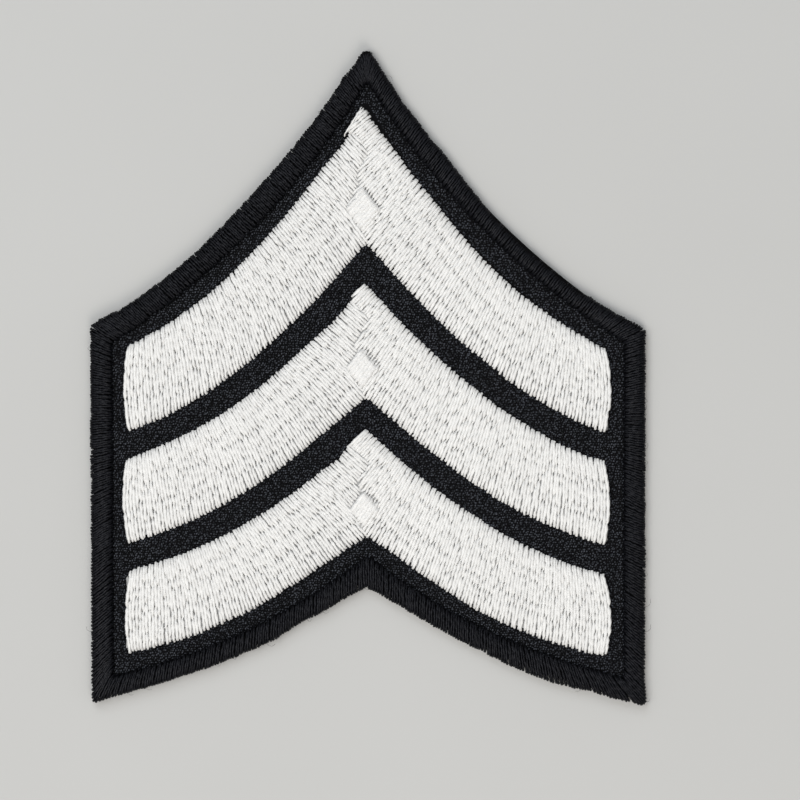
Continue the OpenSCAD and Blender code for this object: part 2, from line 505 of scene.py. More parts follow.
@cache
def thread_fibres() -> bpy.types.NodeTree:
    """Shader group for the twist and the fine fibres of a thread.

    Returns:
        The group. Its outputs are the height of the surface, and how much light the fibres catch.
    """
    inputs = {
        "Along": 0.0, "Ply": (1.0, 0.0, 0.0), "Tone": 0.5, "Plies": 2.0, "Fibre Scale": 5.0,
        "Fibre Width": 2.0, "Fibre Stretch": 0.7, "Fibre Apart": 40.0, "Patch Stretch": 0.8,
        "Patch Apart": 90.0, "Twist Height": 0.6, "Fibre Height": 0.4,
        "Tone Shine": 0.35, "Fibre Shine": 0.25, "Patch Shine": 0.4,
    }
    graph = Graph.group("thread_fibres", "Shader", inputs, {"Height": "Float", "Shine": "Float"})
    x, y, _ = graph.separated(graph["Ply"])
    along, tone, wide = graph["Along"], graph["Tone"], graph["Fibre Width"]
    twist = graph.math("SINE", graph.math("ARCTAN2", y, x) * graph["Plies"])
    on = along * graph["Fibre Stretch"] + tone * graph["Fibre Apart"]
    fibres = graph.noise(graph.combined(x * wide, y * wide, on), graph["Fibre Scale"], detail=3.0)
    patch = graph.combined(tone * graph["Patch Apart"], along * graph["Patch Stretch"], 0.0)
    patches = graph.noise(patch, detail=2.0)
    graph.send("Height", (twist * 0.5 + 0.5) * graph["Twist Height"] + fibres * graph["Fibre Height"])
    shine = tone * graph["Tone Shine"] + fibres * graph["Fibre Shine"] + patches * graph["Patch Shine"]
    graph.send("Shine", shine.clamped())
    return graph.tree


@cache
def plain_yarns() -> bpy.types.NodeTree:
    """Shader group for the over and under of a fine plain weave, read off the object's own millimetres.

    Returns:
        The group. Its outputs are the height of the surface, and specks of paler fibre.
    """
    inputs = {
        "Place": (0.0, 0.0, 0.0), "Yarn Pitch": 0.4, "Bend Scale": 0.9, "Unevenness": 0.2,
        "Hair Scale": 9.0, "Speck Scale": 6.0, "Speck Level": 0.62, "Speck Gain": 6.0,
        "Yarn Height": 0.7, "Hair Height": 0.3,
    }
    graph = Graph.group("plain_yarns", "Shader", inputs, {"Height": "Float", "Specks": "Float"})
    place = graph["Place"]
    bent = graph.noise(place, graph["Bend Scale"], detail=2.0) * graph["Unevenness"]
    x, y, _ = graph.separated(place)
    across, down = (graph.math("SINE", (way + bent) / graph["Yarn Pitch"] * math.pi) for way in (x, y))
    hairs = graph.noise(place, graph["Hair Scale"], detail=2.0)
    specks = graph.noise(place, graph["Speck Scale"], detail=3.0) - graph["Speck Level"]
    graph.send("Height", (across * down * 0.5 + 0.5) * graph["Yarn Height"] + hairs * graph["Hair Height"])
    graph.send("Specks", (specks * graph["Speck Gain"]).clamped())
    return graph.tree


@dataclass(frozen=True)
class Finish:
    """Surface whose tone lies between a deep and a pale colour, in soft patches unless it is a thread's.

    Attributes:
        gloss_tint: Colour of the gloss.
        bump_depth: How deep the surface's finest relief is, in millimetres.
        patch_scale: About how many patches there are to a millimetre.
        patch_detail: How ragged they are.
    """

    name: str
    deep: Triple
    pale: Triple
    roughness: float
    specular: float = 0.5
    sheen: float = 0.0
    gloss_tint: Triple = (1.0, 1.0, 1.0)
    bump_depth: float = 0.05
    patch_scale: float = 0.02
    patch_detail: float = 2.0

    def own_place(self, graph: Graph) -> Field:
        """A point's place in the object's own coordinates, in millimetres."""
        return graph.scaled(graph.out("ShaderNodeTexCoord", "Object"), 1.0 / MM)

    def pattern(self, graph: Graph) -> tuple[Field, Field | None]:
        """How much of the pale colour there is, and the height of the surface if it isn't flat."""
        return graph.noise(self.own_place(graph), self.patch_scale, self.patch_detail), None

    def material(self) -> bpy.types.Material:
        """Builds the material.

        Returns:
            The material, with a Principled shader.
        """
        material = bpy.data.materials.new(self.name)
        material.use_nodes = True
        material.node_tree.nodes.clear()
        graph = Graph(material.node_tree)
        share, height = self.pattern(graph)
        colours = {"Factor_Float": share, "A_Color": (*self.deep, 1.0), "B_Color": (*self.pale, 1.0)}
        inputs = {
            "Base Color": graph.out("ShaderNodeMix", "Result_Color", colours, data_type="RGBA"),
            "Roughness": self.roughness,
            "Specular IOR Level": self.specular,
            "Specular Tint": (*self.gloss_tint, 1.0),
            "Sheen Weight": self.sheen,
        }
        if height is not None:
            bump = {"Height": height, "Distance": self.bump_depth * MM}
            inputs["Normal"] = graph.out("ShaderNodeBump", "Normal", bump)
        surface = graph.out("ShaderNodeBsdfPrincipled", 0, inputs)
        graph.node("ShaderNodeOutputMaterial", {"Surface": surface})
        return material


@dataclass(frozen=True)
class ThreadFinish(Finish):
    """Finish of a twisted embroidery thread."""

    contrast: float = 1.0

    def pattern(self, graph: Graph) -> tuple[Field, Field]:
        """The pattern of a thread, which runs along it.

        Args:
            graph: The material's graph.

        Returns:
            How much of the pale colour there is, and the height of the plies.
        """
        sources = (("Along", ALONG, "Fac"), ("Ply", PLY, "Vector"), ("Tone", TONE, "Fac"))
        read = {
            label: graph.out("ShaderNodeAttribute", output, attribute_name=name)
            for label, name, output in sources
        }
        fibres = graph.node("ShaderNodeGroup", read, node_tree=thread_fibres())
        height, shine = (Field(graph, fibres.outputs[label]) for label in ("Height", "Shine"))
        return ((shine - 0.5) * self.contrast + 0.5).clamped(), height


@dataclass(frozen=True)
class ClothFinish(Finish):
    """Finish of woven cloth, or of the padding thread under a row of stitches."""

    specular: float = 0.1
    patch_scale: float = 2.2
    patch_detail: float = 3.0
    patch_share: float = 0.6
    speck_share: float = 0.5
    yarn_pitch: float = 0.4

    def pattern(self, graph: Graph) -> tuple[Field, Field]:
        """The pattern of cloth, in the object's own millimetres.

        Args:
            graph: The material's graph.

        Returns:
            How much of the pale colour there is, and the height of the yarns.
        """
        place = self.own_place(graph)
        read = {"Place": place, "Yarn Pitch": self.yarn_pitch}
        yarns = graph.node("ShaderNodeGroup", read, node_tree=plain_yarns())
        height, specks = (Field(graph, yarns.outputs[label]) for label in ("Height", "Specks"))
        patches = graph.noise(place, self.patch_scale, self.patch_detail)
        return (patches * self.patch_share + specks * self.speck_share).clamped(), height


# The patch's plan


@dataclass(frozen=True)
class Ramp:
    """A value that changes evenly between a few places.

    Attributes:
        places: The places, in rising order.
        values: The value at each of them.
    """

    places: tuple[float, ...]
    values: tuple[float, ...]

    def at(self, place: float | np.ndarray) -> float | np.ndarray:
        """The value at a place, or at each of several."""
        return np.interp(place, self.places, self.values)


def left_of(way: np.ndarray) -> np.ndarray:
    """A direction in the plane, turned a quarter to the left."""
    return np.array([-way[1], way[0]])


def unit(way: np.ndarray) -> np.ndarray:
    """A direction, made one long."""
    return way / np.linalg.norm(way)


def heading(degrees: float) -> np.ndarray:
    """A direction in the plane, one long, by its angle from the X axis."""
    angle = math.radians(degrees)
    return np.array([math.cos(angle), math.sin(angle)])


def lengths_along(points: np.ndarray) -> np.ndarray:
    """How far along a row of points each of them is."""
    return np.concatenate([[0.0], np.cumsum(np.linalg.norm(np.diff(points, axis=0), axis=1))])


@dataclass(frozen=True)
class Edge:
    """Curved edge of the right half, which the left half mirrors.

    Attributes:
        mid: Height on the middle line.
        end: Height at the ends of the arms.
        radius: The edge's radius.
        arm_x: How far the ends of the arms are from the middle line.
    """

    mid: float
    end: float
    radius: float
    arm_x: float

    def lifted(self, mid_h: float, end_h: float, radius: float) -> "Edge":
        """The edge above this one, by mid_h on the middle line and by end_h at the ends of the arms."""
        return Edge(self.mid + mid_h, self.end + end_h, radius, self.arm_x)

    def centre(self) -> np.ndarray:
        """Works out the centre of the edge's circle.

        Returns:
            The centre, which lies above the edge's chord.
        """
        chord = np.array([self.arm_x, self.end - self.mid])
        length = np.hypot(*chord)
        up = left_of(chord) / length
        return np.array([0.0, self.mid]) + chord / 2 + up * math.sqrt(self.radius**2 - length**2 / 4)

    def height(self, x: float | np.ndarray, outset: float = 0.0) -> float | np.ndarray:
        """Height of the edge.

        Args:
            x: How far to the side of the middle line, on either side.
            outset: What is added to the edge's radius.

        Returns:
            The height there.
        """
        centre = self.centre()
        return centre[1] - np.sqrt((self.radius + outset) ** 2 - (np.abs(x) - centre[0]) ** 2)

    def slope(self, x: float) -> float:
        """Slope of the right-hand edge at x."""
        out = x - self.centre()[0]
        return out / math.sqrt(self.radius**2 - out**2)


@dataclass(frozen=True)
class PatchPlan:
    """The patch seen from above, with the sizes that its solids have.

    Attributes:
        sample: Step between the outline's points.
        drift: How far the border was sewn to the right of its true place.
        notch_fill: How far the notch's corner is filled with thread.
        fill_reach: How far to the sides that filling reaches.
        sways: How far out of true the outer edge was pulled, in each of the outline's six stretches.
    """

    patch_w: float = 68.4
    apex_w: float = 1.3
    notch_rise: float = 14.6
    top_edge_r: float = 96.0
    bottom_edge_r: float = 82.5
    cloth_t: float = 1.0
    border_w: float = 2.6
    border_rise: float = 1.0
    border_wall: float = 0.8
    side_strip: float = 1.6
    top_strip_mid: float = 2.1
    top_strip_end: float = 2.4
    clearance: float = 0.05
    sample: float = 0.25
    drift: float = 0.1
    notch_fill: float = 0.6
    fill_reach: float = 1.4
    sways: tuple[Ramp, ...] = (
        Ramp((0, 0.15, 0.35, 0.5, 0.62, 0.78, 0.9, 1), (-0.4, -0.3, 0, -0.5, -0.7, -0.65, -0.15, 0.1)),
        Ramp((0, 0.94, 1), (0, 0, 0.3)),
        Ramp((0, 0.1, 0.18, 0.28, 0.45, 0.54, 0.8, 1), (0.25, 0.2, 0, 0.35, 0.35, 0.05, 0.05, 0.2)),
        Ramp((0, 0.17, 0.26, 0.36, 0.5, 0.72, 0.92, 1), (0, -0.1, -0.4, -0.05, -0.2, -0.3, -0.15, 0.25)),
        Ramp((0, 1), (0.1, 0.1)),
        Ramp((0, 0.03, 0.09, 0.18, 0.28, 0.56, 0.9, 1), (0.6, 0.75, 0.3, 0.2, 0.1, 0.5, 0.15, -0.35)),
    )

    @property
    def half_w(self) -> float:
        """Half the patch's width."""
        return self.patch_w / 2

    @property
    def arm_x(self) -> float:
        """How far the ends of the arms are from the middle line."""
        return self.half_w - self.border_w - self.side_strip

    def window_bottom(self) -> Edge:
        """Places the border's inner bottom edge so that the patch's foot is where the solids' is.

        Returns:
            The edge, which every other edge is lifted from.
        """
        loose = Edge(self.notch_rise, 0.0, self.bottom_edge_r - self.border_w, self.arm_x)
        down = CAD_BOX[0].y / MM - loose.height(self.half_w, self.border_w)
        return loose.lifted(down, down, loose.radius)

    def sewn(self, inset: float, top: Edge, bottom: Edge) -> list[np.ndarray]:
        """The outline as it was sewn: the true one, a little off the middle line and out of true.

        Args:
            inset: How far the outline is taken in.
            top: The border's inner top edge.
            bottom: The border's inner bottom edge.

        Returns:
            Six stretches, as outline() gives them.
        """
        hold = max(0.0, 1.0 - inset / self.border_w)
        stretches = []
        for part, sway in zip(self.outline(inset, top, bottom), self.sways):
            lengths = lengths_along(part)
            way = np.gradient(part, axis=0)
            out = left_of(way.T).T / np.linalg.norm(way, axis=1)[:, None]
            shifted = part + out * (sway.at(lengths / lengths[-1]) * hold)[:, None]
            off_middle = np.abs(part[:, 0])
            if np.ptp(part[:, 0]) > 0.0:
                shifted[:, 0] = np.clip(shifted[:, 0], -off_middle.max(), off_middle.max())
            fill = np.where(part[:, 1] < 0.0, self.notch_fill * np.exp(-off_middle / self.fill_reach), 0.0)
            stretches.append(shifted + np.column_stack([np.full(len(part), self.drift), -fill * hold]))
        return stretches

    def outline(self, inset: float, top: Edge, bottom: Edge) -> list[np.ndarray]:
        """The outline in six stretches, clockwise from the tip.

        Args:
            inset: How far the outline is taken in.
            top: The border's inner top edge.
            bottom: The border's inner bottom edge.

        Returns:
            Right top, right side, right bottom, left bottom, left side and left top, each a row of points.
        """
        out = self.border_w - inset
        x_side = self.half_w - inset
        tip_y = top.height(self.apex_w / 2, -self.border_w) - inset
        xs = np.linspace(0.0, x_side, math.ceil(x_side / self.sample))
        over = np.column_stack([xs, np.minimum(top.height(xs, -out), tip_y)])
        under = np.column_stack([xs, bottom.height(xs, out)])[::-1]
        rows = math.ceil((over[-1, 1] - under[0, 1]) / self.sample)
        side = np.column_stack([np.full(rows, x_side), np.linspace(over[-1, 1], under[0, 1], rows)])
        right = [over, side, under]
        return right + [part[::-1] * (-1.0, 1.0) for part in reversed(right)]


def closed(parts: Sequence[np.ndarray]) -> np.ndarray:
    """Joins the stretches of an outline to one closed row of points, each given once."""
    return np.vstack([part[:-1] for part in parts])


def area_of(ring: np.ndarray) -> float:
    """Area inside a closed row of points, in square millimetres."""
    after = np.roll(ring, -1, axis=0)
    return abs(float(np.sum(ring[:, 0] * after[:, 1] - after[:, 0] * ring[:, 1]))) / 2


def crossings(ring: np.ndarray, point: np.ndarray, way: np.ndarray) -> np.ndarray:
    """Where a line crosses a closed row of points.

    Args:
        ring: The closed row of points.
        point: A point of the line.
        way: The line's direction, one long.

    Returns:
        How far from the point each crossing is, in rising order.
    """
    start = ring - point
    step = np.roll(ring, -1, axis=0) - ring
    across = left_of(way)
    with np.errstate(divide="ignore", invalid="ignore"):
        share = -(start @ across) / (step @ across)
    hit = (share >= 0.0) & (share < 1.0)
    return np.sort((start[hit] + step[hit] * share[hit, None]) @ way)


# Meshes


def linked(name: str, mesh: bpy.types.Mesh) -> bpy.types.Object:
    """Makes an object of a mesh and puts it into the scene.

    Args:
        name: The object's name.
        mesh: The mesh.

    Returns:
        The object.
    """
    made = bpy.data.objects.new(name, mesh)
    bpy.context.scene.collection.objects.link(made)
    return made


def from_faces(name: str, points: list[Triple], faces: list[tuple[int, ...]]) -> bpy.types.Object:
    """Makes an object of points and faces and puts it into the scene.

    Args:
        name: The object's name.
        points: The points.
        faces: The numbers of each face's points.

    Returns:
        The object.
    """
    mesh = bpy.data.meshes.new(name)
    mesh.from_pydata(points, [], faces)
    return linked(name, mesh)


class Carrier:
    """Rows that threads are laid along, gathered before they become a mesh of edges."""

    def __init__(self) -> None:
        """Starts with no rows."""
        self.rows: list[tuple[np.ndarray, float, float]] = []

    def add(self, row: np.ndarray, bow: float = 0.0, girth: float = 1.0) -> None:
        """Adds a row.

        Args:
            row: Its points, each x, y and z.
            bow: How far the row's middle stands out to its right.
            girth: The thread's width, as a share of what is usual.
        """
        self.rows.append((row, bow, girth))

    def object(self, name: str) -> bpy.types.Object:
        """Makes the mesh of edges.

        Args:
            name: The object's name.

        Returns:
            The object, with each row's number, length, bow and girth stored on its points.
        """
        edges, first = [], 0
        values = {label: [] for label in (ROW, ALONG, SPAN, BOW, GIRTH)}
        for number, (row, bow, girth) in enumerate(self.rows):
            places = lengths_along(row).tolist()
            edges += [(first + n, first + n + 1) for n in range(len(row) - 1)]
            values[ALONG] += places
            for label, value in ((ROW, float(number)), (SPAN, places[-1]), (BOW, bow), (GIRTH, girth)):
                values[label] += [value] * len(row)
            first += len(row)
        mesh = bpy.data.meshes.new(name)
        mesh.from_pydata(np.vstack([row for row, _, _ in self.rows]).tolist(), edges, [])
        for label, listed in values.items():
            mesh.attributes.new(label, "FLOAT", "POINT").data.foreach_set("value", listed)
        return linked(name, mesh)


def grown(carrier: bpy.types.Object, tree: bpy.types.NodeTree, name: str, inputs: dict) -> bpy.types.Object:
    """Runs a geometry tree on a carrier and bakes what comes out.

    Args:
        carrier: The object that the tree reads, in millimetres. It is removed.
        tree: The geometry tree.
        name: The new object's name.
        inputs: What each of the tree's inputs takes, by name.

    Returns:
        A plain mesh object in metres.
    """
    modifier = carrier.modifiers.new(tree.name, "NODES")
    modifier.node_group = tree
    for item in tree.interface.items_tree:
        if item.in_out == "INPUT" and item.name in inputs:
            modifier[item.identifier] = inputs[item.name]
    depsgraph = bpy.context.evaluated_depsgraph_get()
    evaluated = carrier.evaluated_get(depsgraph)
    mesh = bpy.data.meshes.new_from_object(evaluated, preserve_all_data_layers=True, depsgraph=depsgraph)
    mesh.transform(Matrix.Scale(MM, 4))
    mesh.name = name
    carrier_mesh = carrier.data
    bpy.data.objects.remove(carrier)
    bpy.data.meshes.remove(carrier_mesh)
    return linked(name, mesh)


# Width of the gap on the middle line that a shrunk solid closes, and how near two corners count as one
MIDDLE_GAP = 0.2
WELD = 0.002

# Upwards part of a face's normal below which it is a wall, sideways part above which a wall faces the middle
# line, and how long the sum of a corner's walls has to be to have a direction
WALL_TILT = 0.9
ACROSS_TILT = 0.99
LEAST_SUM = 0.1


def shrunk_solid(
    node: str,
    name: str,
    inset: float,
    keep: float,
    material: bpy.types.Material,
    shift: Callable[[float, float], tuple[float, float]] | None = None,
) -> bpy.types.Object:
    """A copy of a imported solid, a little smaller, to lie under the threads that cover it.

    A wall on the middle line moves out to it.

    Args:
        node: The solid's name.
        name: The new object's name.
        inset: How far its walls move in.
        keep: The share of its height that stays.
        material: Its finish.
        shift: Gives how far a point of the solid at some x and y moves right and up, all in millimetres.

    Returns:
        The new object.
    """
    work = bmesh.new()
    work.from_mesh(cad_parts[node].data)
    bmesh.ops.remove_doubles(work, verts=work.verts, dist=WELD * MM)
    work.normal_update()
    low = min(vertex.co.z for vertex in work.verts)
    moves = {}
    for vertex in work.verts:
        in_middle = inset > 0.0 and abs(vertex.co.x) < MIDDLE_GAP / 2 * MM
        walls = [f.normal for f in vertex.link_faces if abs(f.normal.z) < WALL_TILT]
        if in_middle:
            walls = [normal for normal in walls if abs(normal.x) < ACROSS_TILT]
        flat = Vector((sum(n.x for n in walls), sum(n.y for n in walls), 0.0))
        moves[vertex] = (flat.normalized() * inset * MM if flat.length > LEAST_SUM else Vector(), in_middle)
    for vertex, (move, in_middle) in moves.items():
        if shift:
            vertex.co += Vector((*shift(vertex.co.x / MM, vertex.co.y / MM), 0.0)) * MM
        vertex.co -= move
        vertex.co.z = low + (vertex.co.z - low) * keep
        if in_middle:
            vertex.co.x = 0.0
    mesh = bpy.data.meshes.new(name)
    work.to_mesh(mesh)
    work.free()
    mesh.materials.append(material)
    return linked(name, mesh)


def joined(name: str, pieces: list[bpy.types.Object]) -> bpy.types.Object:
    """Joins several objects to the first of them.

    Args:
        name: The joined object's name.
        pieces: The objects.

    Returns:
        The joined object.
    """
    first = pieces[0]
    with bpy.context.temp_override(
        active_object=first, object=first, selected_objects=pieces, selected_editable_objects=pieces
    ):
        bpy.ops.object.join()
    first.name = name
    first.data.name = name
    return first


# Sub-assemblies


@dataclass
class GroundCloth:
    """The black cloth: a plate with a plain back, and the weave that shows between the stitched parts.

    Attributes:
        carpet: The bottom and the top edge of each strip of bare cloth.
        tuck: How far the weave goes on under what borders it.
    """

    plan: PatchPlan
    carpet: list[tuple[Edge, Edge]]
    top: Edge
    bottom: Edge
    tuck: float = 0.2
    strip_step: float = 0.5
    pitch: float = 0.3
    row_shift: float = 0.41
    float_size: Triple = (0.38, 0.24, 0.26)
    lean_deg: float = 38.0
    lean_chance_deg: float = 90.0
    jitter: float = 0.19
    seed: int = 3

    def bare_mesh(self) -> bpy.types.Object:
        """Flat carrier that covers the bare cloth.

        Returns:
            The carrier, in strips between the edges and beside the arms' ends.
        """
        sides = self.plan.arm_x - self.tuck
        window = self.plan.half_w - self.plan.border_w + self.tuck
        strips = [(low, high, -window, window) for low, high in self.carpet]
        strips += [(self.bottom, self.top, -window, -sides), (self.bottom, self.top, sides, window)]
        points, faces = [], []
        for low, high, start, stop in strips:
            xs = np.linspace(start, stop, 2 + math.ceil((stop - start) / self.strip_step))
            firsts = range(len(points), len(points) + 2 * len(xs) - 2, 2)
            faces += [(first, first + 2, first + 3, first + 1) for first in firsts]
            for x in xs:
                points += [(x, low.height(x) - self.tuck, 0.0), (x, high.height(x) + self.tuck, 0.0)]
        return from_faces("bare_cloth", points, faces)

    def build(self, cloth: bpy.types.Material, yarn: bpy.types.Material) -> list[bpy.types.Object]:
        """Builds the plate and its weave.

        Args:
            cloth: Finish of the plate.
            yarn: Finish of the weave's yarn, with painted glints on some floats.

        Returns:
            The plate and the weave.
        """
        plate = shrunk_solid("ground_cloth", "ground_cloth_sheet", 0.0, 1.0, cloth)
        inputs = {
            "Pitch Across": self.pitch,
            "Pitch Along": self.pitch,
            "Row Shift": self.row_shift,
            "Float Size": self.float_size,
            "Lean": math.radians(self.lean_deg),
            "Lean Chance": math.radians(self.lean_chance_deg),
            "Jitter": self.jitter,
            "Lift": self.plan.cloth_t,
            "Seed": self.seed,
            "Finish": yarn,
        }
        weave = grown(self.bare_mesh(), weave_tree(), "ground_cloth_weave", inputs)
        ring = closed(self.plan.outline(self.plan.border_wall + self.plan.clearance, self.top, self.bottom))
        for piece in (plate, weave):
            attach(piece, BODY)
        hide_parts("ground_cloth")
        area_of(ring) * MM * MM
        return [plate, weave]


@dataclass
class Border:
    """The black border: a shaped core, and satin stitches laid over it from the cloth's face to its back.

    Attributes:
        proud: How far the threads stand out past the outline.
        pairing: How far a stitch's inner end goes aside, to share a needle hole with the next one.
        pair_reach: How far along the stitch that is felt.
        crown_power: How boxy the crown is: 2 is round.
        hem: How far the stitches go in under the cloth.
        turn_in: How far in and how far up the wall turns into the hem.
        outer_sink: How much lower the crown's outer half starts.
        longest: Length of the longest stitch.
        most_out: How far out a stitch may stray.
        fibre_path: Points of a loose fibre: how far out from the edge, and its shares of the fibre's reach
            and length.
        leans: Direction of the stitches by their share of each stretch, in degrees from the X axis.
    """

    plan: PatchPlan
    top: Edge
    bottom: Edge
    pitch: float = 0.275
    pitch_chance: float = 0.035
    station_step: float = 0.04
    thread_w: float = 0.38
    proud: float = 0.09
    pairing: float = 0.09
    pair_reach: float = 0.4
    core_inset: float = 0.42
    core_keep: float = 0.84
    crown_power: float = 2.7
    crown_steps: int = 11
    hem: float = 0.5
    foot_gap: float = 0.04
    back_gap: float = 0.01
    outer_sink: float = 0.1
    turn_in: tuple[float, float] = (0.06, 0.08)
    longest: float = 5.2
    edge_stray: float = 0.028
    side_stray: float = 0.02
    most_out: float = 0.14
    edge_waves: float = 0.04
    wave_shape: Triple = (0.5, 0.7, 0.5)
    fibres: int = 46
    fibre_w: float = 0.04
    fibre_reach: tuple[float, float] = (0.05, 0.3)
    fibre_length: tuple[float, float] = (0.5, 1.6)
    fibre_height: tuple[float, float] = (0.7, 1.7)
    fibre_rise: float = 0.1
    fibre_path: tuple[Triple, ...] = ((-0.3, 0.0, 0.0), (0.0, 0.7, 0.3), (0.0, 1.0, 0.7), (-0.1, 0.0, 1.0))
    seed: int = 11
    leans: tuple[Ramp, ...] = (
        Ramp((0, 0.05, 0.15, 0.5, 0.88, 1), (90, 60, 53, 54, 50, 22)),
        Ramp((0, 0.15, 0.3, 0.45, 0.55, 0.7, 1), (22, 12, -8, -28, -18, -32, -48)),
        Ramp((0, 0.12, 0.3, 0.5, 0.75, 1), (132, 118, 103, 92, 88, 90)),
        Ramp((0, 0.25, 0.5, 0.88, 1), (90, 86, 84, 76, 62)),
        Ramp((0, 0.1, 0.35, 0.55, 0.7, 0.88, 1), (242, 222, 217, 206, 190, 170, 152)),
        Ramp((0, 0.12, 0.5, 0.85, 0.95, 1), (150, 136, 138, 138, 124, 90)),
    )

    def stations(self) -> Iterable[tuple[np.ndarray, np.ndarray]]:
        """Candidate stitches round the border.

        Yields:
            A point on the border's middle line, and the stitch's direction there.
        """
        for part, lean in zip(self.plan.sewn(self.plan.border_w / 2, self.top, self.bottom), self.leans):
            lengths = lengths_along(part)
            for place in np.arange(0.0, lengths[-1], self.station_step):
                point = np.array([np.interp(place, lengths, part[:, axis]) for axis in (0, 1)])
                yield point, heading(lean.at(place / lengths[-1]))

    def stitches(self, rng: np.random.Generator) -> list[tuple[np.ndarray, np.ndarray]]:
        """The stitches' ends.

        Args:
            rng: What the pitch is drawn from.

        Returns:
            For each stitch, its point on the inner edge and its point on the outer edge.
        """
        inner = closed(self.plan.sewn(self.plan.border_w, self.top, self.bottom))
        outer = closed(self.plan.sewn(self.thread_w / 2 - self.proud, self.top, self.bottom))
        found: list[tuple[np.ndarray, np.ndarray]] = []
        room = self.pitch
        for point, way in self.stations():
            out = min(crossings(outer, point, way), key=abs, default=None)
            into = [t for t in crossings(inner, point, way) if out is not None and t * out < 0]
            if out is None or not into:
                continue
            near = min(into, key=abs)
            near = math.copysign(min(abs(near), self.longest - abs(out)), near)
            ends = (point + way * near, point + way * out)
            if found:
                across = left_of(way)
                gaps = [abs(float((a - b) @ across)) for a, b in zip(ends, found[-1])]
                middle = abs(float((sum(ends) / 2 - sum(found[-1]) / 2) @ across))
                if max(*gaps, middle) < room:
                    continue
            room = self.pitch + rng.normal(0.0, self.pitch_chance)
            found.append(ends)
        return found

    def section(self, start: np.ndarray, stop: np.ndarray, top: float, pinch: np.ndarray) -> np.ndarray:
        """Path of one stitch over the border.

        Args:
            start: Its point on the inner edge.
            stop: Its point on the outer edge.
            top: Height of the crown.
            pinch: How far its inner end goes aside, to share a needle hole with the next stitch.

        Returns:
            Points from the cloth's face over the crown, down the wall and in under the hem.
        """
        foot = self.plan.cloth_t + self.foot_gap
        back = self.thread_w / 2 + self.back_gap
        span = np.linalg.norm(stop - start)
        way = (stop - start) / span
        power = 2.0 / self.crown_power
        points = []
        for angle in np.linspace(math.pi, 0.0, self.crown_steps):
            share = 0.5 + 0.5 * math.copysign(abs(math.cos(angle)) ** power, math.cos(angle))
            rise = abs(math.sin(angle)) ** power
            low = foot if angle > math.pi / 2 else foot - self.outer_sink
            aside = pinch * math.exp(-share * span / self.pair_reach)
            points.append((*(start + (stop - start) * share + aside), low + (top - low) * rise))
        inwards, upwards = self.turn_in
        points.append((*stop, (foot + back) / 2))
        points.append((*(stop - way * inwards), back + upwards))
        points.append((*(stop - way * self.hem), back))
        return np.array(points)

    def fuzz(self, ends: list[tuple[np.ndarray, np.ndarray]], rng: np.random.Generator) -> Carrier:
        """Loose fibres that stand off the outer edge.

        Args:
            ends: The stitches' ends.
            rng: What the fibres are drawn from.

        Returns:
            The rows that the fibres are laid along.
        """
        rows = Carrier()
        for number in rng.integers(0, len(ends), self.fibres):
            start, stop = ends[number]
            way = unit(stop - start)
            along = left_of(way) * rng.choice((-1.0, 1.0))
            spans = (self.fibre_reach, self.fibre_length, self.fibre_height)
            reach, length, height = (rng.uniform(*span) for span in spans)
            path = [
                stop + way * out + way * reach * far + along * length * on
                for out, far, on in self.fibre_path
            ]
            rows.add(np.array([(*point, height + self.fibre_rise * n) for n, point in enumerate(path)]))
        return rows

    def build(self, thread: bpy.types.Material, under: bpy.types.Material) -> bpy.types.Object:
        """Builds the border.

        Args:
            thread: Finish of the thread.
            under: Finish of what lies under the stitches.

        Returns:
            The border's stitching.
        """
        rng = np.random.default_rng(self.seed)
        rows = Carrier()
        top = self.plan.cloth_t + self.plan.border_rise - self.thread_w / 2
        ends = self.stitches(np.random.default_rng(self.seed))
        waves = np.convolve(rng.normal(0.0, 1.0, len(ends) + 2), self.wave_shape, "valid") * self.edge_waves
        for number, ((start, stop), wave) in enumerate(zip(ends, waves)):
            way = unit(stop - start)
            across = left_of(way)
            start = start + way * rng.normal(0.0, self.edge_stray)
            start = start + across * rng.normal(0.0, self.side_stray)
            stop = stop + way * min(wave + rng.normal(0.0, self.edge_stray), self.most_out)
            stop = stop + across * rng.normal(0.0, self.side_stray)
            pinch = across * (self.pairing if number % 2 else -self.pairing)
            rows.add(self.section(start, stop, top, pinch))
        fuzz = self.fuzz(ends, rng)
        satin = {
            "Sample Step": 0.35, "Thread Width": self.thread_w, "Twist Pitch": 1.9, "Stitch Length": 50.0,
            "Wander": 0.07, "Wander Pitch": 1.3, "Unevenness": 0.035, "Rim Reach": 0.2,
            "Seed": self.seed, "Finish": thread,
        }
        stitches = grown(rows.object("border_rows"), thread_tree(), "border_stitching", satin)
        hair = {
            "Sample Step": 0.2, "Thread Width": self.fibre_w, "Sides": 4, "Wander": 0.03,
            "Wander Pitch": 0.6, "Rim Reach": 0.2, "Seed": self.seed + 1, "Finish": thread,
        }
        loose = grown(fuzz.object("border_fuzz"), thread_tree(), "border_fuzz", hair)
        core = shrunk_solid("border", "border_core", self.core_inset, self.core_keep, under)
        piece = joined("border_stitching", [stitches, loose, core])
        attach(piece, BODY)
        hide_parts("border")
        LOG.info("border: %d stitches", len(ends))
        return piece


class Side(Enum):
    """Which half of the patch an arm is in: the sign of its X."""

    LEFT = -1
    RIGHT = 1


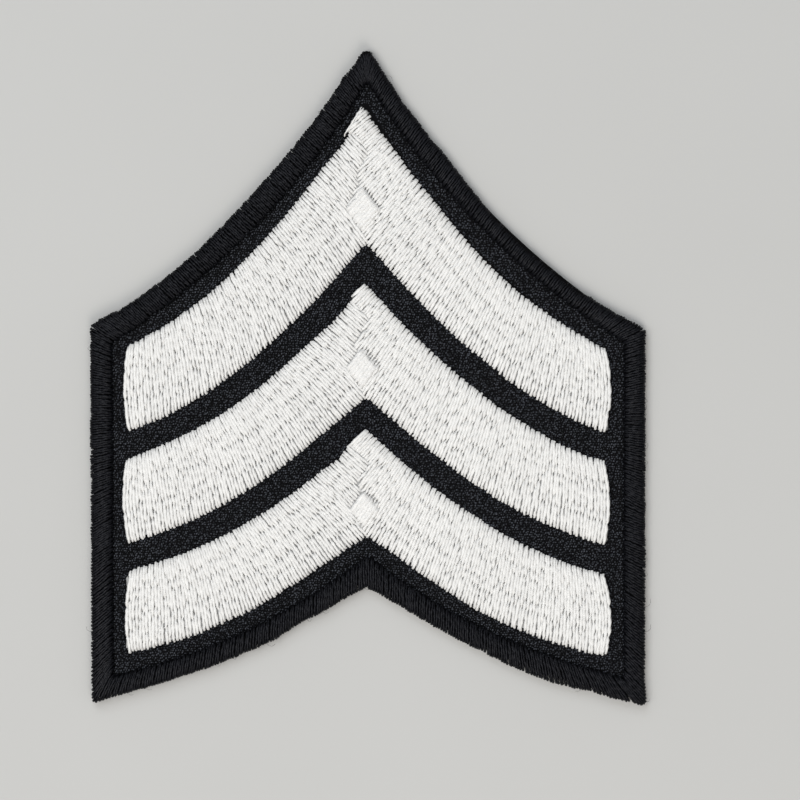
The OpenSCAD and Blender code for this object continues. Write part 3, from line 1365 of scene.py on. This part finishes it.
@dataclass(frozen=True)
class Interlock:
    """The staircase on the middle line where the rows of the left and right arms meet.

    Attributes:
        steps: Its corners from the top one, on the left arm's top edge, to the foot: how far to the right of
            the middle line, and the share of the chevron's height there.
        tip: The chevron's blunt tip, given as the corners are.
        calm: Middle of the diamond where the arms overlap, given as the corners are.
        calm_half: Half the diamond's width and half its height.
        seam: Start and end of the line of pits at the diamond's upper right.
        overlaps: How far each arm's rows go on under the other arm's, at each corner.
        foot_fill: How far the corner at the foot is filled with thread.
        fill_reach: How far to the sides that filling reaches.
    """

    steps: Pairs
    tip: tuple[float, float]
    calm: tuple[float, float]
    calm_half: tuple[float, float]
    seam: Pairs
    overlaps: tuple[float, ...] = (0.25, 0.25, 0.08, 0.08, 0.2, 0.25)
    foot_fill: float = 0.7
    fill_reach: float = 1.2


@dataclass(frozen=True)
class Sewing:
    """How an arm was sewn, given as if it were the right one.

    Attributes:
        leans: Lean of the rows, in degrees from the X axis, by the place along the arm where they cross its
            middle. Its first place is where the rows start.
        top: How far the top edge was sewn above its true place, by the distance from the middle line.
        bottom: The same for the bottom edge.
    """

    leans: Ramp
    top: Ramp
    bottom: Ramp


@dataclass
class Arm:
    """White stitched arm of a chevron.

    Attributes:
        strays: Loose rows, each from a point to a point: how far to the right of the middle line, and the
            height over the chevron's foot.
        bow: How far a row's middle stands out to the side.
        end_bow: The same at the end of the arm, where the rows bulge out.
        end_bow_reach: How far from the end that is felt.
        end_spread: How much closer the rows' middles are there, for how much their bow grows.
        bowed_length: Length from which a row has its full bow.
        drift: How far the arm was sewn to the left of its true place.
        end_inset: How far from the end of the arm the last row is at least.
        end_step: How far the rows' ends go in and out by turns.
        pairing: How far a row's end goes aside, to share a needle hole with its neighbour.
        pair_reach: How far along the row that is felt.
        pair_room: Length of the shortest row whose ends go aside, in pair_reaches.
        shortest: Length of the shortest row that is sewn.
        near_girth: Share of its usual width that a thread has within near_reach of the middle line.
        near_fade: How far past near_reach it has its usual width again.
        tip_bevel: How far from the blunt tip the top edge begins.
        least_x: How near the middle line the edges go.
        core_inset: How far the padding's walls stay in.
        core_end: How far from the end of the arm the padding is made shorter.
        core_short: How much shorter it is there.
        core_keep: The share of the solid's height that the padding has.
    """

    chevron: str
    side: Side
    top: Edge
    bottom: Edge
    interlock: Interlock
    sewing: Sewing
    strays: tuple[Pairs, ...] = ()
    pitch: float = 0.375
    pitch_chance: float = 0.015
    lean_chance: float = 0.25
    thread_w: float = 0.55
    thread_z: float = 1.66
    bow: float = 0.05
    end_bow: float = 0.75
    end_bow_reach: float = 3.0
    end_spread: float = 0.7
    bowed_length: float = 10.0
    drift: float = 0.1
    end_inset: float = 0.5
    end_step: float = 0.05
    end_stray: float = 0.04
    pairing: float = 0.035
    pair_reach: float = 1.4
    pair_room: float = 3.0
    shortest: float = 0.7
    near_reach: float = 8.0
    near_fade: float = 4.0
    near_girth: float = 1.0
    stray_girth: float = 0.5
    tip_bevel: float = 0.3
    least_x: float = 0.1
    top_points: int = 90
    bottom_points: int = 120
    core_inset: float = 0.55
    core_end: float = 1.0
    core_short: float = 0.25
    core_keep: float = 0.5
    seed: int = 0

    @property
    def name(self) -> str:
        """What the names of the arm's solid and its stitching start with."""
        return f"{self.chevron}_{self.side.name.lower()}"

    def height_at(self, share: float) -> float:
        """Height on the middle line at a share of the chevron's own height."""
        return self.bottom.mid + (self.top.mid - self.bottom.mid) * share

    def core_shift(self, x: float, y: float) -> tuple[float, float]:
        """Finds how far the solid's points move, so that the padding stays under the sewn edges.

        Args:
            x: How far to the right a point is.
            y: How far up it is.

        Returns:
            How far to the right and how far up it moves.
        """
        near = abs(x)
        back = self.core_short if near > self.top.arm_x - self.core_end else 0.0
        sway = self.sewing.top if y > self.middle(near)[1] else self.sewing.bottom
        return -back * self.side.value, sway.at(near)

    def region(self) -> np.ndarray:
        """The stitched area, with the arm as if it were the right one.

        Returns:
            A closed row of points round it.
        """
        lock = self.interlock
        corners = zip(lock.steps, lock.overlaps)
        stairs = [(x * self.side.value - under, self.height_at(share)) for (x, share), under in corners]
        head = [stairs[0]]
        first = stairs[0][0] + lock.overlaps[0]
        if self.side is Side.RIGHT:
            head.append((lock.tip[0], self.height_at(lock.tip[1])))
            first = max(lock.tip[0] + self.tip_bevel, self.least_x)
        above = np.linspace(first, self.top.arm_x, self.top_points)
        below = np.linspace(self.top.arm_x, self.least_x, self.bottom_points)
        fill = lock.foot_fill * np.exp(-below / lock.fill_reach)
        upper = np.column_stack([above, self.top.height(above) + self.sewing.top.at(above)])
        lower = np.column_stack([below, self.bottom.height(below) + self.sewing.bottom.at(below) - fill])
        return np.vstack([head, upper, lower, stairs[:0:-1]])

    def slope(self, x: float) -> float:
        """Slope of the arm's middle line at x, which is even past the middle of the patch."""
        return (self.top.slope(max(x, 0.0)) + self.bottom.slope(max(x, 0.0))) / 2

    def middle(self, x: float) -> np.ndarray:
        """Finds a point of the arm's middle line, which runs on straight past the middle of the patch.

        Args:
            x: How far along the arm the point is.

        Returns:
            The point.
        """
        near = max(x, 0.0)
        y = (self.top.height(near) + self.bottom.height(near)) / 2
        return np.array([x, y + self.slope(x) * min(x, 0.0)])

    def rows(self) -> Carrier:
        """Lays out the rows.

        Returns:
            The rows that the thread is laid along.
        """
        rng = np.random.default_rng(self.seed)
        region = self.region()
        rows = Carrier()
        x, arm_x = self.sewing.leans.places[0], self.top.arm_x
        near = Ramp((self.near_reach, self.near_reach + self.near_fade), (self.near_girth, 1.0))
        while x < arm_x - self.end_inset:
            way = heading(self.sewing.leans.at(x) + rng.normal(0.0, self.lean_chance))
            middle = self.middle(x)
            hits = crossings(region, middle, way)
            bulge = (self.end_bow - self.bow) * math.exp((x - arm_x) / self.end_bow_reach)
            turn = 1.0 if len(rows.rows) % 2 else -1.0
            aside = left_of(way) * self.pairing * turn
            for start, stop in zip(hits[::2], hits[1::2]):
                start += rng.normal(self.end_step * turn, self.end_stray)
                stop += rng.normal(self.end_step * turn, self.end_stray)
                if stop - start > self.shortest:
                    points = self._paired(middle + way * start, middle + way * stop, aside)
                    full = min(1.0, (stop - start) / self.bowed_length) ** 2
                    bow = (self.bow + bulge) * full * self.side.value
                    rows.add(self._placed(points), bow, float(near.at(x)))
            closing = abs(way[1] - self.slope(x) * way[0])
            spread = 1.0 + self.end_spread * bulge / self.end_bow_reach
            x += self.pitch / closing / spread * (1.0 + rng.normal(0.0, self.pitch_chance))
        for ends in self.strays:
            points = [(px * self.side.value, self.bottom.mid + py) for px, py in ends]
            rows.add(self._placed(points), girth=self.stray_girth)
        return rows

    def _paired(self, start: np.ndarray, stop: np.ndarray, aside: np.ndarray) -> list[np.ndarray]:
        """Bends a row's two ends aside, each towards the row that shares its needle hole.

        Args:
            start: Where the row starts.
            stop: Where it stops.
            aside: How far its far end goes aside. The near end goes the other way.

        Returns:
            The row's points: only its ends if it is too short to bend.
        """
        length = np.linalg.norm(stop - start)
        if length < self.pair_room * self.pair_reach:
            return [start, stop]
        reach = (stop - start) / length * self.pair_reach
        return [start - aside, start + reach, stop - reach, stop + aside]

    def _placed(self, ends: Sequence[Sequence[float]]) -> np.ndarray:
        """A row's points on the arm's own side, at the height of the thread."""
        side = self.side.value
        return np.array([(point[0] * side - self.drift, point[1], self.thread_z) for point in ends])

    def build(self, thread: bpy.types.Material, under: bpy.types.Material) -> bpy.types.Object:
        """Builds the arm's stitching.

        Args:
            thread: Finish of the thread.
            under: Finish of what lies under the stitches, whose grey is partly painted shade for the gaps
                between the threads.

        Returns:
            The arm's stitching.
        """
        rows = self.rows()
        lock = self.interlock
        start, end = ((x, self.height_at(share), self.thread_z) for x, share in lock.seam)
        inputs = {
            "Sample Step": 0.2, "Thread Width": self.thread_w, "Flatness": 0.62, "Twist Pitch": 2.2,
            "Stitch Length": 3.75, "Stitch Lean": 0.09, "Stitch Stray": 0.035, "Pit Length": 0.5,
            "Pit Depth": 0.16, "Wander": 0.035, "Wander Pitch": 1.5, "Unevenness": 0.02,
            "Rim Reach": 1.6, "Rim Drop": 0.5, "Seed": self.seed, "Finish": thread,
        }
        if self.side is Side.RIGHT:
            inputs |= {
                "Calm Centre": (lock.calm[0], self.height_at(lock.calm[1]), 0.0),
                "Calm Half Width": lock.calm_half[0], "Calm Half Height": lock.calm_half[1],
                "Calm Rise": 0.08, "Seam Start": start, "Seam End": end, "Seam Depth": 0.08,
            }
        node = self.name + "_arm"
        threads = grown(rows.object(node + "_rows"), thread_tree(), node + "_threads", inputs)
        core = shrunk_solid(node, node + "_core", self.core_inset, self.core_keep, under, self.core_shift)
        piece = joined(self.name + "_stitching", [threads, core])
        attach(piece, BODY)
        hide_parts(node)
        LOG.info("%s: %d rows", piece.name, len(rows.rows))
        return piece


@dataclass
class Chevron:
    """One chevron: its two edges and its two arms.

    Attributes:
        under: The edge that it lies above.
        gap: Bare height under it, on the middle line and at the arms' ends, and its bottom edge's radius.
        size: Its own height at the same two places, and its top edge's radius.
    """

    name: str
    under: Edge
    gap: Triple
    size: Triple
    interlock: Interlock
    left: Sewing
    right: Sewing
    seed: int
    strays: tuple[Pairs, ...] = ()
    bottom: Edge = field(init=False)
    top: Edge = field(init=False)

    def __post_init__(self) -> None:
        """Works out the two edges."""
        self.bottom = self.under.lifted(*self.gap)
        self.top = self.bottom.lifted(*self.size)

    def arms(self) -> list[Arm]:
        """Describes the two arms.

        Returns:
            The left arm, whose rows are sewn looser, and the right arm.
        """
        edges = (self.top, self.bottom, self.interlock)
        looser = {"pitch": 0.385, "near_girth": 0.95, "bow": -0.3, "end_bow": 0.6}
        left = Arm(self.name, Side.LEFT, *edges, self.left, seed=self.seed, **looser)
        right = Arm(self.name, Side.RIGHT, *edges, self.right, self.strays, seed=self.seed + 1)
        return [left, right]


@dataclass(frozen=True)
class Lamp:
    """Soft square lamp that faces the patch."""

    name: str
    place: Triple
    size: float
    watts: float
    colour: Triple

    def build(self) -> None:
        """Adds the lamp."""
        data = bpy.data.lights.new(self.name, "AREA")
        data.size = self.size * MM
        data.energy = self.watts
        data.color = self.colour
        made = bpy.data.objects.new(self.name, data)
        made.location = Vector(self.place) * MM
        made.rotation_euler = Vector(self.place).to_track_quat("Z", "Y").to_euler()
        made.visible_camera = False
        bpy.context.scene.collection.objects.link(made)


@dataclass(frozen=True)
class Studio:
    """Plain floor, soft light and the camera above the patch.

    Attributes:
        focal_px: Focal length in pixels of a picture that is image_px wide.
        place: Where the camera is.
        target: The point of the floor in the middle of the picture.
        roll_deg: How far the camera is turned about its own axis.
        clip: The nearest and the farthest that the camera sees.
        floor_gap: How far under the patch's back the floor is.
    """

    image_px: int = 800
    sensor_mm: float = 36.0
    focal_px: float = 2550.0
    place: Triple = (12.28, 5.63, 315.36)
    target: Triple = (4.07, -2.91, 0.0)
    roll_deg: float = 0.02
    clip: tuple[float, float] = (10.0, 10000.0)
    floor_half: float = 1500.0
    floor_gap: float = 0.02
    floor_finish: Finish = Finish("pale_floor", (0.50, 0.50, 0.49), (0.53, 0.53, 0.52), 0.85)
    sky_colour: Triple = (0.97, 0.98, 1.0)
    sky_strength: float = 0.38
    lamps: tuple[Lamp, ...] = (
        Lamp("cool_window", (-150.0, 470.0, 600.0), 420.0, 1.6, (0.9, 0.955, 1.0)),
        Lamp("warm_lamp", (120.0, -450.0, 520.0), 360.0, 1.7, (1.0, 0.945, 0.87)),
        Lamp("overhead", (-280.0, -60.0, 720.0), 500.0, 2.7, (1.0, 0.99, 0.97)),
    )

    def camera(self) -> bpy.types.Object:
        """Makes the camera.

        Returns:
            The camera, which is the scene's own.
        """
        data = bpy.data.cameras.new("camera")
        data.sensor_width = self.sensor_mm
        data.lens = self.focal_px / self.image_px * self.sensor_mm
        data.clip_start, data.clip_end = (distance * MM for distance in self.clip)
        made = bpy.data.objects.new("camera", data)
        back = (Vector(self.place) - Vector(self.target)).normalized()
        roll = math.radians(self.roll_deg)
        right = Vector((math.sin(roll), math.cos(roll), 0.0)).cross(back).normalized()
        turn = Matrix((right, back.cross(right), back)).transposed().to_4x4()
        made.matrix_world = Matrix.Translation(Vector(self.place) * MM) @ turn
        bpy.context.scene.collection.objects.link(made)
        bpy.context.scene.camera = made
        return made

    def floor(self) -> bpy.types.Object:
        """Makes the floor.

        Returns:
            The floor, a square just under the patch's back.
        """
        half, z = self.floor_half * MM, -self.floor_gap * MM
        corners = [(-half, -half, z), (half, -half, z), (half, half, z), (-half, half, z)]
        made = from_faces("floor", corners, [(0, 1, 2, 3)])
        made.data.materials.append(self.floor_finish.material())
        return made

    def build(self) -> None:
        """Sets up the floor, the light and the camera."""
        scene = bpy.context.scene
        scene.view_settings.view_transform = "Standard"
        world = bpy.data.worlds.new("soft_room")
        world.use_nodes = True
        sky = world.node_tree.nodes["Background"]
        sky.inputs["Color"].default_value = (*self.sky_colour, 1.0)
        sky.inputs["Strength"].default_value = self.sky_strength
        scene.world = world
        self.floor()
        for lamp in self.lamps:
            lamp.build()
        self.camera()


def chevrons(foot: Edge) -> list[Chevron]:
    """The three chevrons, from the lower one up.

    Args:
        foot: The border's inner bottom edge.

    Returns:
        The chevrons.
    """
    lower = Chevron(
        name="lower",
        under=foot,
        gap=(3.1, 2.3, 62.0),
        size=(12.7, 9.7, 67.5),
        interlock=Interlock(
            steps=((-1.85, 0.83), (0.42, 0.63), (-1.12, 0.46), (-0.51, 0.37), (-1.9, 0.2), (-0.2, -0.03)),
            tip=(-0.1, 0.985),
            calm=(-0.3, 0.21),
            calm_half=(1.6, 2.0),
            seam=((0.0, 0.38), (1.5, 0.28)),
        ),
        left=Sewing(
            Ramp((-2.8, 5, 10, 14, 20, 26, 30), (40, 45, 55, 61, 76, 89, 92)),
            Ramp((2, 3, 4, 5, 8, 18, 22, 28.5), (0, -0.52, -0.46, -0.2, -0.14, 0, 0.1, 0.45)),
            Ramp((2, 4, 6, 10, 15, 18, 21, 28.5), (0.05, 0.22, 0.42, 0.45, 0.2, 0.27, 0.1, 0.25)),
        ),
        right=Sewing(
            Ramp((-4.2, -3.3, -1.5, 2, 6, 18, 27), (60, 44, 48, 57, 67, 81, 92)),
            Ramp((0.2, 1.2, 2.2, 5, 14, 17, 25, 28.5), (-0.28, -0.17, 0, 0.08, 0.05, -0.15, -0.12, 0.1)),
            Ramp((1.2, 4, 8, 11, 13, 19, 28, 29.7), (0.14, 0.38, 0.32, 0.25, 0.05, 0, -0.05, 0.2)),
        ),
        seed=41,
    )
    middle = Chevron(
        name="middle",
        under=lower.top,
        gap=(4.5, 3.8, 67.5),
        size=(13.7, 10.0, 74.0),
        interlock=Interlock(
            steps=((-1.8, 0.81), (0.53, 0.63), (-1.53, 0.42), (-1.0, 0.35), (-2.25, 0.18), (-0.2, -0.04)),
            tip=(-0.35, 0.985),
            calm=(-0.6, 0.21),
            calm_half=(1.8, 2.1),
            seam=((0.0, 0.385), (1.35, 0.27)),
        ),
        left=Sewing(
            Ramp((-2.8, 5, 10, 14, 20, 25, 30), (40, 43.5, 53, 61, 75, 80, 90)),
            Ramp((2, 3, 5, 7, 12, 18, 22, 28.5), (-0.3, -0.5, -0.3, 0, -0.15, -0.2, 0, 0.42)),
            Ramp((2, 5, 6, 9, 12, 15, 22, 28.8), (0, 0.15, 0.3, 0.22, 0.15, 0.04, 0.04, 0.3)),
        ),
        right=Sewing(
            Ramp((-4.2, -3.3, -1.5, 2, 6, 18, 26), (60, 44, 48, 56, 63, 78, 90)),
            Ramp((0.2, 2.2, 7, 14, 16, 24, 27.7, 29.7), (-0.6, -0.25, -0.1, -0.13, -0.28, -0.3, -0.03, 0.3)),
            Ramp((1.2, 5, 10, 13, 16, 19, 24, 29), (0, 0.2, 0.3, 0.12, 0, -0.1, 0, 0.15)),
        ),
        seed=31,
    )
    upper = Chevron(
        name="upper",
        under=middle.top,
        gap=(5.4, 3.7, 72.0),
        size=(17.0, 10.1, 82.0),
        interlock=Interlock(
            steps=((-1.95, 0.77), (0.34, 0.595), (-1.11, 0.435), (-0.82, 0.373), (-2.5, 0.18), (0.1, -0.05)),
            tip=(-0.5, 0.935),
            calm=(-0.5, 0.2),
            calm_half=(1.9, 2.5),
            seam=((-0.2, 0.355), (1.55, 0.22)),
        ),
        left=Sewing(
            Ramp((-3, 5, 10, 14, 20, 25, 30), (44.5, 49.5, 57, 66, 76, 85, 90)),
            Ramp((2.6, 4, 5, 7, 13, 19, 25, 29), (-1, -0.52, -0.18, -0.04, -0.1, -0.35, -0.03, 0.48)),
            Ramp((2, 5, 10, 13, 20, 23, 26, 29), (-0.1, 0, 0.13, 0, -0.2, -0.1, 0.02, 0.4)),
        ),
        right=Sewing(
            Ramp((-4.6, -3.8, -2, 2, 7, 18, 28), (58, 42, 40, 50, 53, 71, 90)),
            Ramp((0.2, 2.2, 3.2, 8.5, 13, 18.5, 23, 29), (-1.6, -0.95, -0.56, -0.1, -0.46, -0.7, -0.35, 0.1)),
            Ramp((1.2, 3, 8, 11, 15, 17, 23, 29), (0, 0.12, 0.28, 0.15, 0.2, -0.05, -0.1, 0.2)),
        ),
        strays=(((-2.65, 12.4), (-0.5, 15.9)), ((-1.95, 13.2), (-0.27, 15.75))),
        seed=21,
    )
    return [lower, middle, upper]


WHITE_THREAD = ThreadFinish(
    "white_thread", (0.70, 0.695, 0.683), (0.89, 0.885, 0.868), roughness=0.38, sheen=0.05, contrast=0.7
)
# Grey padding under the white rows: partly the black cloth that shows between the threads, partly painted
# shade that darkens the gaps and pits between them
PADDING_WITH_PAINTED_SHADE = ClothFinish("padding_with_painted_shade", (0.34, 0.34, 0.34), (0.42, 0.42, 0.41), roughness=0.9)
BLACK_THREAD = ThreadFinish(
    name="black_thread",
    deep=(0.001, 0.0011, 0.0018),
    pale=(0.006, 0.0062, 0.0085),
    roughness=0.36,
    specular=0.2,
    contrast=1.3,
    gloss_tint=(0.9, 0.92, 1.0),
)
BLACK_PADDING = ClothFinish("black_padding", (0.001, 0.001, 0.0012), (0.002, 0.002, 0.0025), roughness=0.95)
BLACK_CLOTH = ClothFinish("black_cloth", (0.0015, 0.0015, 0.002), (0.003, 0.003, 0.004), roughness=0.9)
# Yarn of the weave's floats: its tone differs at random from float to float, and its pale colour, far above
# the black, is painted glints that stand in for the yarn's gloss
BLACK_YARN_PAINTED_GLINTS = ThreadFinish(
    name="black_yarn_painted_glints",
    deep=(0.0005, 0.0005, 0.001),
    pale=(0.06, 0.065, 0.078),
    roughness=0.38,
    specular=0.24,
    contrast=3.0,
    gloss_tint=(0.9, 0.96, 1.0),
)


def main() -> None:
    """Builds the studio and then the patch, piece by piece."""
    logging.basicConfig(level=logging.INFO, format="%(name)s: %(message)s")
    Studio().build()
    plan = PatchPlan()
    foot = plan.window_bottom()
    stack = chevrons(foot)
    lower, middle, upper = stack
    head = upper.top.lifted(plan.top_strip_mid, plan.top_strip_end, plan.top_edge_r + plan.border_w)
    bare = [(foot, lower.bottom), (lower.top, middle.bottom), (middle.top, upper.bottom), (upper.top, head)]
    pieces = GroundCloth(plan, bare, head, foot).build(BLACK_CLOTH.material(), BLACK_YARN_PAINTED_GLINTS.material())
    pieces.append(Border(plan, head, foot).build(BLACK_THREAD.material(), BLACK_PADDING.material()))
    white, padding = WHITE_THREAD.material(), PADDING_WITH_PAINTED_SHADE.material()
    pieces += [arm.build(white, padding) for chevron in stack for arm in chevron.arms()]
    for piece in pieces:
        LOG.info("%s: %d faces", piece.name, len(piece.data.polygons))


if __name__ == "__main__":
    main()
